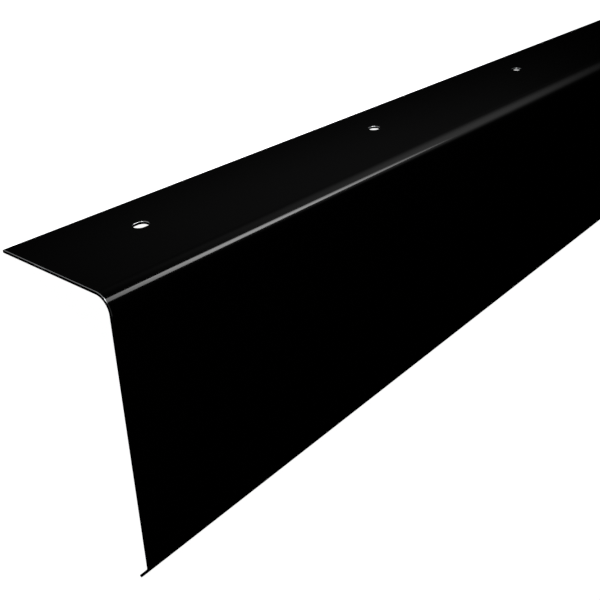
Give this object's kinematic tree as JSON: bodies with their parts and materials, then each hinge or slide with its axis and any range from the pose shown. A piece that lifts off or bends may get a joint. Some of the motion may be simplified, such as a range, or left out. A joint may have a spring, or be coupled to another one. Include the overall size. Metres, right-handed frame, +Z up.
{
  "type": "roof edge flashing",
  "caption": "Long folded metal roof edge flashing: flat flange with punched fixing slots, soft square bend, deep apron and a short foot turned in at the bottom.",
  "frame": {"origin": "on the ground plane, midway between the two cut ends and midway between the outermost edges of the section as it rests", "axes": "+X along the stock; +Z up; it rests like a tent on two free edges with the roof bend on top, the slotted flange falling steeply towards +Y and the apron falling gently towards -Y"},
  "size_m": [2, 0.186, 0.0709],
  "materials": {
    "coated_sheet": "satin black powder coat on 1.5 mm aluminium sheet, 1.6 mm over the coat"
  },
  "bodies": {
    "root": {"edge_flashing": "coated_sheet"}
  },
  "joints": []
}
